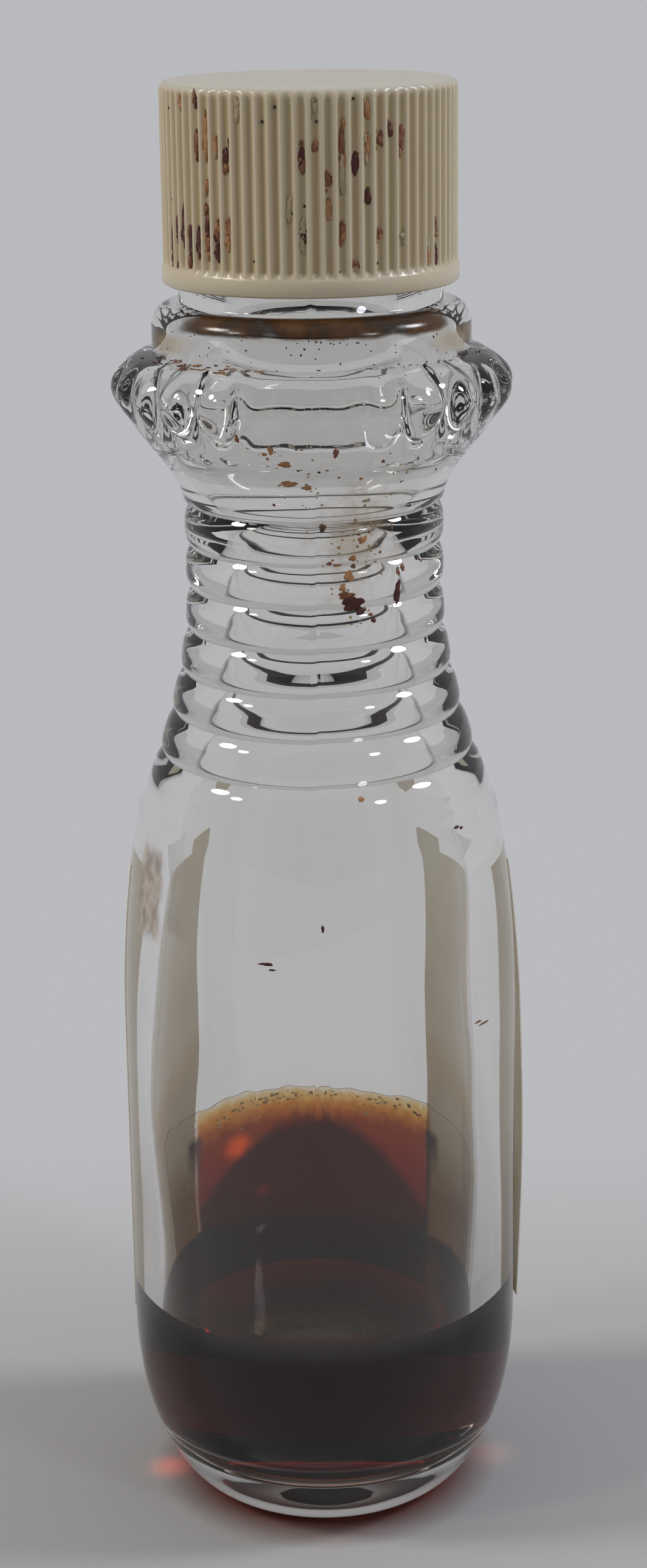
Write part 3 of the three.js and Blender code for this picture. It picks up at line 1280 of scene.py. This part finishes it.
@dataclass
class DriedDrops:
    """Lumps of dried extract that lie on a surface of the bottle."""

    name: str
    radius_at: Callable[[float], float]
    spots: Sequence[Spot]
    relief: float
    seed: int = 3
    small_under: float = 0.3

    def build(self) -> list[Piece]:
        """Copy one lump to every spot and join the lumps of each tone into a piece.

        Returns:
            One piece for each tone.
        """
        large, small = self.model_lump(3), self.model_lump(2)
        pieces = []
        rng = random.Random(self.seed)
        for tone in Tone:
            lumps = [
                self.place(large if spot.wide * spot.tall > self.small_under else small, spot, rng)
                for spot in self.spots
                if spot.tone is tone
            ]
            if lumps:
                pick(*lumps)
                bpy.ops.object.join()
                piece = named(f"{self.name}_{tone.name.lower()}")
                shade(piece, 80)
                pieces.append(dress(piece, tone.value, "dark_extract"))
        for model in (large, small):
            bpy.data.objects.remove(model)
        return pieces

    def model_lump(self, fineness: int) -> Piece:
        """Model one irregular flat lump, one millimetre across, facing up.

        Args:
            fineness: How often the ball's faces are divided.

        Returns:
            The lump.
        """
        pick()
        bpy.ops.mesh.primitive_ico_sphere_add(subdivisions=fineness, radius=0.5 * MM)
        lump = named("lump")
        reshape(lump, self.roughen)
        return lump

    @staticmethod
    def roughen(corners: np.ndarray) -> np.ndarray:
        """Make a ball's rim uneven and keep its poles.

        Args:
            corners: The piece's corners.

        Returns:
            The moved corners.
        """
        turn = np.arctan2(corners[:, 1], corners[:, 0])
        uneven = 1 + 0.14 * np.sin(3 * turn + 1) + 0.1 * np.sin(5 * turn) + 0.07 * np.sin(8 * turn + 2)
        return np.column_stack((corners[:, 0] * uneven, corners[:, 1] * uneven, corners[:, 2]))

    def place(self, model: Piece, spot: Spot, rng: random.Random) -> Piece:
        """Copy the lump and lay it on the surface at its spot.

        Args:
            model: The lump to copy.
            spot: Where it goes and how big it is.
            rng: Gives each copy its own turn.

        Returns:
            The placed copy.
        """
        lump = model.copy()
        lump.data = model.data.copy()
        bpy.context.collection.objects.link(lump)
        turn = math.radians(spot.azimuth)
        radius = self.radius_at(spot.z)
        slope = math.atan2(self.radius_at(spot.z - 0.3) - self.radius_at(spot.z + 0.3), 0.6)
        spin = Matrix.Rotation(rng.choice((0, math.pi)) + rng.uniform(-0.2, 0.2), 4, "Z")
        size = Matrix.Diagonal((spot.wide, spot.tall, self.relief, 1))
        upright = Matrix.Rotation(math.pi / 2 - slope, 4, "X")
        facing = Matrix.Rotation(turn, 4, "Z")
        middle = Vector((radius * math.sin(turn), -radius * math.cos(turn), spot.z)) * MM
        lump.data.transform(Matrix.Translation(middle) @ facing @ upright @ size @ spin)
        return lump


def cap_stains(cap: ScrewCap, seed: int = 5) -> DriedDrops:
    """List the smears in the cap's grooves, each given by its groove counted from the front.

    Args:
        cap: The cap that they lie on.
        seed: Seed of the small lumps about each smear.

    Returns:
        The smears and specks.
    """
    dark, brown, orange, faint = Tone.DARK, Tone.BROWN, Tone.ORANGE, Tone.FAINT
    smears = (
        (-14, 122.3, 124.9, dark), (-14, 120.9, 121.6, dark), (-13, 123.9, 125.8, dark),
        (-13, 120.9, 121.8, dark), (-12, 123.0, 126.8, dark), (-11, 122.1, 125.0, dark),
        (-10, 122.4, 125.1, dark), (-9, 123.9, 126.2, dark), (-9, 123.0, 124.0, brown),
        (-8, 124.0, 125.6, brown), (-8, 122.1, 124.0, dark), (-7, 124.5, 125.9, brown),
        (-7, 123.6, 124.5, orange), (-10, 135.0, 135.9, dark), (-10, 131.1, 133.3, brown),
        (-9, 130.7, 134.9, orange), (-8, 131.2, 132.6, orange), (-7, 130.6, 131.9, dark),
        (-7, 129.8, 130.5, brown), (-9, 128.0, 129.1, orange), (-12, 134.8, 135.5, orange),
        (-6, 134.0, 135.6, faint), (-1, 130.7, 132.0, dark), (-1, 130.0, 130.8, brown),
        (0, 131.6, 132.4, brown), (0, 134.8, 135.8, faint), (1, 128.7, 129.7, brown),
        (1, 125.9, 127.8, orange), (2, 131.0, 133.6, brown), (2, 128.0, 131.0, faint),
        (2, 124.4, 125.8, brown), (3, 129.5, 131.5, dark), (4, 134.2, 135.8, orange),
        (4, 131.0, 132.7, orange), (4, 127.1, 128.5, dark), (5, 132.0, 132.8, brown),
        (5, 124.1, 125.1, brown), (6, 132.6, 133.7, dark), (7, 131.3, 133.6, brown),
        (-2, 125.8, 127.5, faint), (-1, 124.2, 126.2, faint), (-1, 124.5, 125.0, dark),
        (3, 122.0, 122.4, brown), (7, 124.0, 124.5, faint), (10, 121.2, 122.9, orange),
        (11, 121.1, 122.8, dark), (11, 124.1, 124.7, brown),
    )  # fmt: skip
    softer = {dark: brown, brown: orange, orange: faint, faint: faint}
    rng = random.Random(seed)
    spots = []
    for groove, low, high, tone in smears:
        azimuth = cap.rib_turn + groove * 360 / cap.rib_count
        spots.append(Spot(azimuth, (low + high) / 2, 0.6, high - low, tone))
        for _ in range(4):
            size = rng.uniform(0.2, 0.5)
            place = (azimuth + rng.uniform(-1.6, 1.6), rng.uniform(low - 0.4, high + 0.4))
            spots.append(Spot(*place, size, size * rng.uniform(1.0, 3.2), rng.choice((tone, softer[tone]))))
    specks = (
        (-68.2, 134.8), (-60.9, 129.2), (-67.7, 127.0), (-17.6, 134.1), (-12.6, 135.3), (17.1, 135.9),
        (10.9, 121.5), (-20.3, 121.5), (-2.0, 124.7), (-21.7, 122.4), (3.0, 134.1), (49.5, 128.9),
        (8.1, 129.5), (-25.3, 132.4), (-6.6, 126.5), (-1.9, 127.1), (26.3, 122.1), (17.0, 122.2),
    )  # fmt: skip
    spots += [Spot(azimuth, z, 0.2, 0.28, Tone.SPECK) for azimuth, z in specks]
    return DriedDrops("cap_stain", lambda z: cap.groove_radius + 0.08, spots, 0.34)


def glass_drips(shape: GlassShape) -> DriedDrops:
    """List the drops that ran down the collar and neck and dried there.

    Args:
        shape: The glass that they lie on.

    Returns:
        The drops.
    """
    dark, brown, orange, faint = Tone.DARK, Tone.BROWN, Tone.ORANGE, Tone.FAINT
    rows = (
        (16.5, 92.1, 2.0, 1.5, dark), (13.5, 92.9, 1.5, 0.7, brown), (20.5, 91.3, 1.0, 0.8, dark),
        (12.0, 93.6, 0.6, 0.8, orange), (38.3, 92.6, 0.7, 2.3, dark), (42.0, 94.7, 0.5, 0.6, brown),
        (39.0, 94.5, 0.4, 0.8, brown), (15.0, 94.6, 0.9, 1.0, orange), (16.7, 96.2, 0.7, 0.6, orange),
        (20.8, 97.8, 0.8, 0.6, orange), (17.5, 95.4, 0.5, 0.5, brown), (3.7, 99.0, 0.6, 0.9, dark),
        (6.5, 95.8, 0.5, 0.4, brown), (10.0, 95.6, 0.8, 0.3, orange), (42.2, 94.9, 0.4, 0.4, orange),
        (55.1, 94.9, 0.4, 0.3, orange), (-22.5, 107.8, 0.4, 0.9, brown), (-12.8, 106.8, 0.5, 1.0, orange),
        (-9.1, 105.4, 1.1, 0.8, orange), (-8.8, 103.4, 1.4, 0.8, orange), (-2.4, 103.0, 0.9, 0.6, orange),
        (-15.0, 106.4, 0.5, 0.4, orange), (7.0, 106.5, 0.5, 1.1, brown), (23.3, 105.4, 0.3, 0.4, brown),
        (2.0, 104.6, 0.3, 0.2, dark), (-5.0, 104.8, 0.3, 0.2, dark), (21.8, 101.4, 0.8, 0.3, faint),
        (18.0, 99.6, 0.4, 0.4, faint), (24.0, 97.2, 0.3, 0.3, faint), (26.0, 90.4, 0.5, 0.5, dark),
        (25.0, 90.9, 0.5, 0.3, brown), (14.9, 74.9, 0.6, 0.5, orange), (-15.3, 60.4, 1.4, 0.3, dark),
        (-13.5, 59.9, 0.7, 0.2, dark), (1.0, 63.8, 0.3, 0.7, dark), (48.6, 71.0, 0.7, 0.3, dark),
        (50.8, 70.8, 0.4, 0.3, dark), (53.8, 51.8, 1.6, 0.2, brown), (51.0, 52.2, 1.0, 0.2, brown),
    )  # fmt: skip
    return DriedDrops("glass_drip", shape.outside, [Spot(*row) for row in rows], 0.2)


def ledge_residue(shape: GlassShape, seed: int = 8) -> DriedDrops:
    """Scatter the fine crust along the line where the ledge meets the collar, and the specks about it.

    Args:
        shape: The glass that they lie on.
        seed: Seed of their places, sizes and tones.

    Returns:
        The crust and specks.
    """
    rng = random.Random(seed)
    crust = (Tone.BROWN, Tone.ORANGE, Tone.DARK)
    spots = []
    for _ in range(46):
        place = (rng.triangular(-80, -14, -40), shape.ledge_bottom + rng.gauss(0.0, 0.12))
        spots.append(Spot(*place, rng.uniform(0.3, 1.1), rng.uniform(0.12, 0.28), rng.choice(crust)))
    for _ in range(22):
        place = (rng.uniform(-14, 80), shape.ledge_bottom + rng.gauss(0.1, 0.12))
        spots.append(Spot(*place, rng.uniform(0.15, 0.5), rng.uniform(0.08, 0.14), rng.choice(crust)))
    for _ in range(80):
        place = (rng.uniform(-80, 80), rng.uniform(112.4, 117.3))
        spots.append(Spot(*place, rng.uniform(0.08, 0.22), rng.uniform(0.08, 0.22), Tone.SPECK))
    return DriedDrops("ledge_residue", shape.outside, spots, 0.1, seed)


def neck_specks(shape: GlassShape, seed: int = 21) -> DriedDrops:
    """Scatter the finest dried drops about the drips on the neck and collar.

    Args:
        shape: The glass that they lie on.
        seed: Seed of their places, sizes and tones.

    Returns:
        The drops.
    """
    rng = random.Random(seed)
    tones = (Tone.ORANGE, Tone.FAINT, Tone.BROWN, Tone.FAINT, Tone.ORANGE)
    spots = []
    groups = ((17, 8, 90, 99, 44), (-6, 8, 101, 107, 26), (22, 12, 98, 108, 26))
    for middle, spread, low, high, count in groups:
        for _ in range(count):
            place = (rng.gauss(middle, spread), rng.uniform(low, high))
            size = rng.uniform(0.12, 0.34)
            spots.append(Spot(*place, size, size * rng.uniform(0.5, 1.1), rng.choice(tones)))
    return DriedDrops("neck_speck", shape.outside, spots, 0.12, seed)


def film_beads(shape: GlassShape, seed: int = 17) -> DriedDrops:
    """Scatter small glossy beads along the upper edge of the film on the back wall.

    Args:
        shape: The glass that they lie on.
        seed: Seed of their places and sizes.

    Returns:
        The beads.
    """
    rng = random.Random(seed)
    spots = []
    for _ in range(90):
        across = rng.uniform(-47, 47)
        place = (180 - across, 34.1 - 0.9 * (across / 47) ** 2 + rng.gauss(0, 0.35))
        size = rng.uniform(0.08, 0.3)
        spots.append(Spot(*place, size * rng.uniform(1, 2.2), size, Tone.AMBER))
    for across, z, size in ((-19.0, 34.3, 0.6), (-22.0, 34.1, 0.5), (19.8, 32.0, 0.6), (-33.0, 31.4, 0.4)):
        spots.append(Spot(180 - across, z, size, size * 0.6, Tone.AMBER))
    return DriedDrops("film_bead", lambda z: shape.cavity(z) - 0.2, spots, 0.16, seed)


@dataclass
class GlassStain:
    """A thin veil of residue that lies on the outside of the glass."""

    name: str
    finish: Finish
    slot: str
    left: float
    right: float
    path: Callable[[float], tuple[float, float]]
    side_border: float
    end_border: float
    gap: float = 0.02
    thickness: float = 0.02

    def build(self) -> Piece:
        """Lay the veil on the glass, note how it fades towards its edges and dress it."""
        stain = lay_sheet(self.name, (120, 24), self.lay, self.thickness, note=("fade", self.fade))
        return dress(stain, self.finish, self.slot)

    def fade(self, across: np.ndarray, up: np.ndarray) -> np.ndarray:
        """Fall from 1 in the middle of the veil to 0 at its edges."""
        inward = np.clip((1 - np.abs(across)) / self.side_border, 0, 1)
        return inward * np.clip((1 - np.abs(up)) / self.end_border, 0, 1)

    def lay(self, across: np.ndarray, up: np.ndarray) -> np.ndarray:
        """Wrap the flat veil on the glass: across is round the bottle and up is along the path.

        Args:
            across: Place round the bottle, from -1 to 1.
            up: Place along the path, from -1 to 1.

        Returns:
            The veil's corners.
        """
        azimuth = np.radians(self.left + (self.right - self.left) * (across + 1) / 2)
        section = np.array([self.path(share) for share in (up + 1) / 2])
        return cartesian(azimuth, section[:, 0] + self.gap, section[:, 1] + self.gap)


def glass_stains(shape: GlassShape) -> list[GlassStain]:
    """List the veils of residue on the ledge, the neck and the shoulder; the band on the ledge is partly
    painted shade.

    Args:
        shape: The glass that they lie on.

    Returns:
        The veils.
    """

    def wall(low: float, high: float) -> Callable[[float], tuple[float, float]]:
        """Follow the outside of the glass between two heights."""
        return lambda share: (shape.outside(low + (high - low) * share), low + (high - low) * share)

    def rim(share: float) -> tuple[float, float]:
        """Follow the ledge's rounding from its side up and in over its top."""
        turn = math.pi / 2 * min(1.0, share / 0.8)
        inward = max(0.0, share - 0.8) * 2.5
        radius = shape.ledge_radius - shape.ledge_round * (1 - math.cos(turn))
        return radius - inward, shape.ledge_top - shape.ledge_round * (1 - math.sin(turn))

    # The ledge band is partly dried residue and partly painted shade: the dark gap under the cap as seen
    # through the ledge's rounded edge.
    band = StainedHaze("Dried extract, brown ring residue", "#241407", "#5C3F26", 0.93, 2.4, roughness=0.16)
    veil = StainedHaze("Dried extract, tan veil", "#B4976C", "#CDBB9C", 0.34, 2.0)
    glue = StainedHaze("Torn label paper and glue", "#94857B", "#CDC2B8", 0.7, 1.2, stretch=1.6)
    return [
        GlassStain("ledge_band", band, "dark_extract", -62, 66, rim, 0.3, 0.35),
        GlassStain("neck_veil", veil, "dark_extract", -14, 48, wall(88.0, 108.0), 1.0, 1.0),
        GlassStain("ledge_veil_left", veil, "dark_extract", -88, -38, wall(113.0, 116.4), 0.8, 0.8),
        GlassStain("ledge_veil_right", veil, "dark_extract", 34, 88, wall(113.0, 116.6), 0.8, 0.8),
        GlassStain("shoulder_glue", glue, "label_paper", -71, -52, wall(59.0, 69.5), 0.5, 0.4),
    ]


# Floor, light and camera


@dataclass
class Studio:
    """The pale floor, the soft light and the camera at the photograph's place."""

    floor_size: float = 12.0
    floor_gap: float = 0.02
    room_front: str = "#605E5B"
    room_back: str = "#A8A9AB"
    lamp_centre: float = 0.07
    cone: float = 110.0
    camera_side: float = 0.55
    camera_back: float = 260.0
    camera_height: float = 152.8
    camera_tilt: float = 17.3
    camera_roll: float = 0.745
    focal_pixels: float = 4725.0
    long_side_pixels: float = 2576.0
    sensor: float = 36.0
    clip: tuple[float, float] = (0.01, 50.0)

    def build(self) -> None:
        """Lay the floor, hang the lights and set the camera."""
        self.lay_floor()
        self.light_world()
        self.shine("side_left", -84, 38, 13, "#FFFAF2", 1.06)
        self.shine("side_right", 92, 38, 13, "#F2F5FF", 1.22)
        self.shine("front_left", -64, 34, 8, "#FFFAF2", 0.28)
        self.shine("front_right", 47, 30, 8, "#F2F5FF", 0.28)
        self.hang_glow("glow_left", -84, 15.9, 2.7, "#FF5A30", 0.00022)
        self.hang_glow("glow_right", 90, 16.6, 3.2, "#FF9C84", 0.00009)
        self.light_underside(7.5, 0.0002)
        self.set_camera()
        bpy.context.scene.view_settings.view_transform = "Standard"

    def lay_floor(self) -> None:
        """Lay one wide board just under the resting plane."""
        pick()
        bpy.ops.mesh.primitive_plane_add(size=self.floor_size, location=(0, 0, -self.floor_gap * MM))
        floor = named("floor")
        bpy.ops.object.transform_apply()
        floor.data.materials.append(PaleBoard().material())
        log.info("floor: %.0f m wide", self.floor_size)

    def light_world(self) -> None:
        """Fill the room with even light, darker behind the camera than behind the bottle."""
        world = bpy.data.worlds.new("room")
        bpy.context.scene.world = world
        nodes = Nodes(world)
        direction = nodes.add("TexCoord").outputs["Generated"]
        backward = nodes.add("SeparateXYZ", {0: direction}).outputs["Y"]
        colour = nodes.mix(nodes.between(backward, -0.97, -0.45), self.room_front, self.room_back)
        light = nodes.add("Background", {"Color": colour, "Strength": 1.0})
        nodes.add("OutputWorld", {"Surface": light.outputs[0]})

    @staticmethod
    def add_lamp(name: str, kind: str, place: Vector, tint: str, power: float, **settings: object) -> Piece:
        """Hang a lamp.

        Args:
            name: The lamp's name.
            kind: Its type, such as "SUN".
            place: Where it hangs, in metres.
            tint: Hex colour of its light.
            power: Its light on a surface in watts on a square metre for a sun, and in watts for others.
            **settings: More properties of the lamp.

        Returns:
            The object that holds the lamp.
        """
        lamp = bpy.data.lights.new(name, kind)
        lamp.energy = power
        lamp.color = linear(tint)[:3]
        for key, value in settings.items():
            setattr(lamp, key, value)
        holder = bpy.data.objects.new(name, lamp)
        bpy.context.collection.objects.link(holder)
        holder.location = place
        return holder

    def shine(
        self, name: str, azimuth: float, height: float, width: float, tint: str, strength: float
    ) -> None:
        """Light the room with a far, soft round lamp.

        Args:
            name: The lamp's name.
            azimuth: Degrees round the bottle from the front.
            height: Degrees above the floor.
            width: How many degrees across the lamp looks.
            tint: Hex colour of its light.
            strength: Its light on a surface that faces it, in watts on a square metre.
        """
        turn, rise = math.radians(azimuth), math.radians(height)
        out = Vector((math.sin(turn) * math.cos(rise), -math.cos(turn) * math.cos(rise), math.sin(rise)))
        place = Vector((0, 0, self.lamp_centre)) + out
        lamp = self.add_lamp(name, "SUN", place, tint, strength, angle=math.radians(width))
        lamp.rotation_mode = "QUATERNION"
        lamp.rotation_quaternion = (-out).to_track_quat("-Z", "Y")

    def hang_glow(
        self, name: str, azimuth: float, radius: float, height: float, tint: str, power: float
    ) -> None:
        """Light a patch of floor beside the heel as the extract does with the light it lets through.

        Args:
            name: The lamp's name.
            azimuth: Degrees round the bottle from the front.
            radius: Distance from the axis in millimetres.
            height: Height above the floor in millimetres.
            tint: Hex colour of its light.
            power: Its power in watts.
        """
        turn = math.radians(azimuth)
        place = Vector((radius * math.sin(turn), -radius * math.cos(turn), height)) * MM
        cone = {"spot_size": math.radians(self.cone), "spot_blend": 1.0, "shadow_soft_size": 0.4 * MM}
        lamp = self.add_lamp(name, "SPOT", place, tint, power, **cone)
        lamp.visible_glossy = lamp.visible_transmission = False

    def light_underside(self, radius: float, power: float) -> None:
        """Light the floor inside the resting ring, as the light through the thick base does.

        Args:
            radius: The lamp's radius in millimetres.
            power: Its power in watts.
        """
        place = Vector((0, 0, 0.3)) * MM
        disk = {"shape": "DISK", "size": 2 * radius * MM}
        lamp = self.add_lamp("glow_under", "AREA", place, "#FFD9CC", power, **disk)
        lamp.visible_camera = lamp.visible_glossy = lamp.visible_transmission = False

    def set_camera(self) -> None:
        """Set the camera where the photograph was taken from."""
        lens = bpy.data.cameras.new("camera")
        lens.sensor_width = self.sensor
        lens.lens = self.focal_pixels / self.long_side_pixels * self.sensor
        lens.clip_start, lens.clip_end = self.clip
        camera = bpy.data.objects.new("camera", lens)
        bpy.context.collection.objects.link(camera)
        camera.location = Vector((self.camera_side, -self.camera_back, self.camera_height)) * MM
        camera.rotation_mode = "ZYX"
        camera.rotation_euler = (math.radians(90 - self.camera_tilt), 0, math.radians(-self.camera_roll))
        bpy.context.scene.camera = camera


def main() -> None:
    """Build every piece in order; each piece notes its triangles as it is dressed."""
    logging.basicConfig(level=logging.INFO, format="%(name)s %(message)s")
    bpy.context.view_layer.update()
    Studio().build()
    shape = GlassShape()
    cap = ScrewCap()
    for part in (
        GlassBottle(shape),
        cap,
        Extract(shape),
        SideLabel(shape, "label_paper_left", "label_left", -84.0, -129.5, 18.4),
        SideLabel(shape, "label_paper_right", "label_right", 90.5, 134.7, 17.8, lift=0.8),
        cap_stains(cap),
        glass_drips(shape),
        *glass_stains(shape),
        ledge_residue(shape),
        neck_specks(shape),
        film_beads(shape),
    ):
        part.build()


if __name__ == "__main__":
    main()
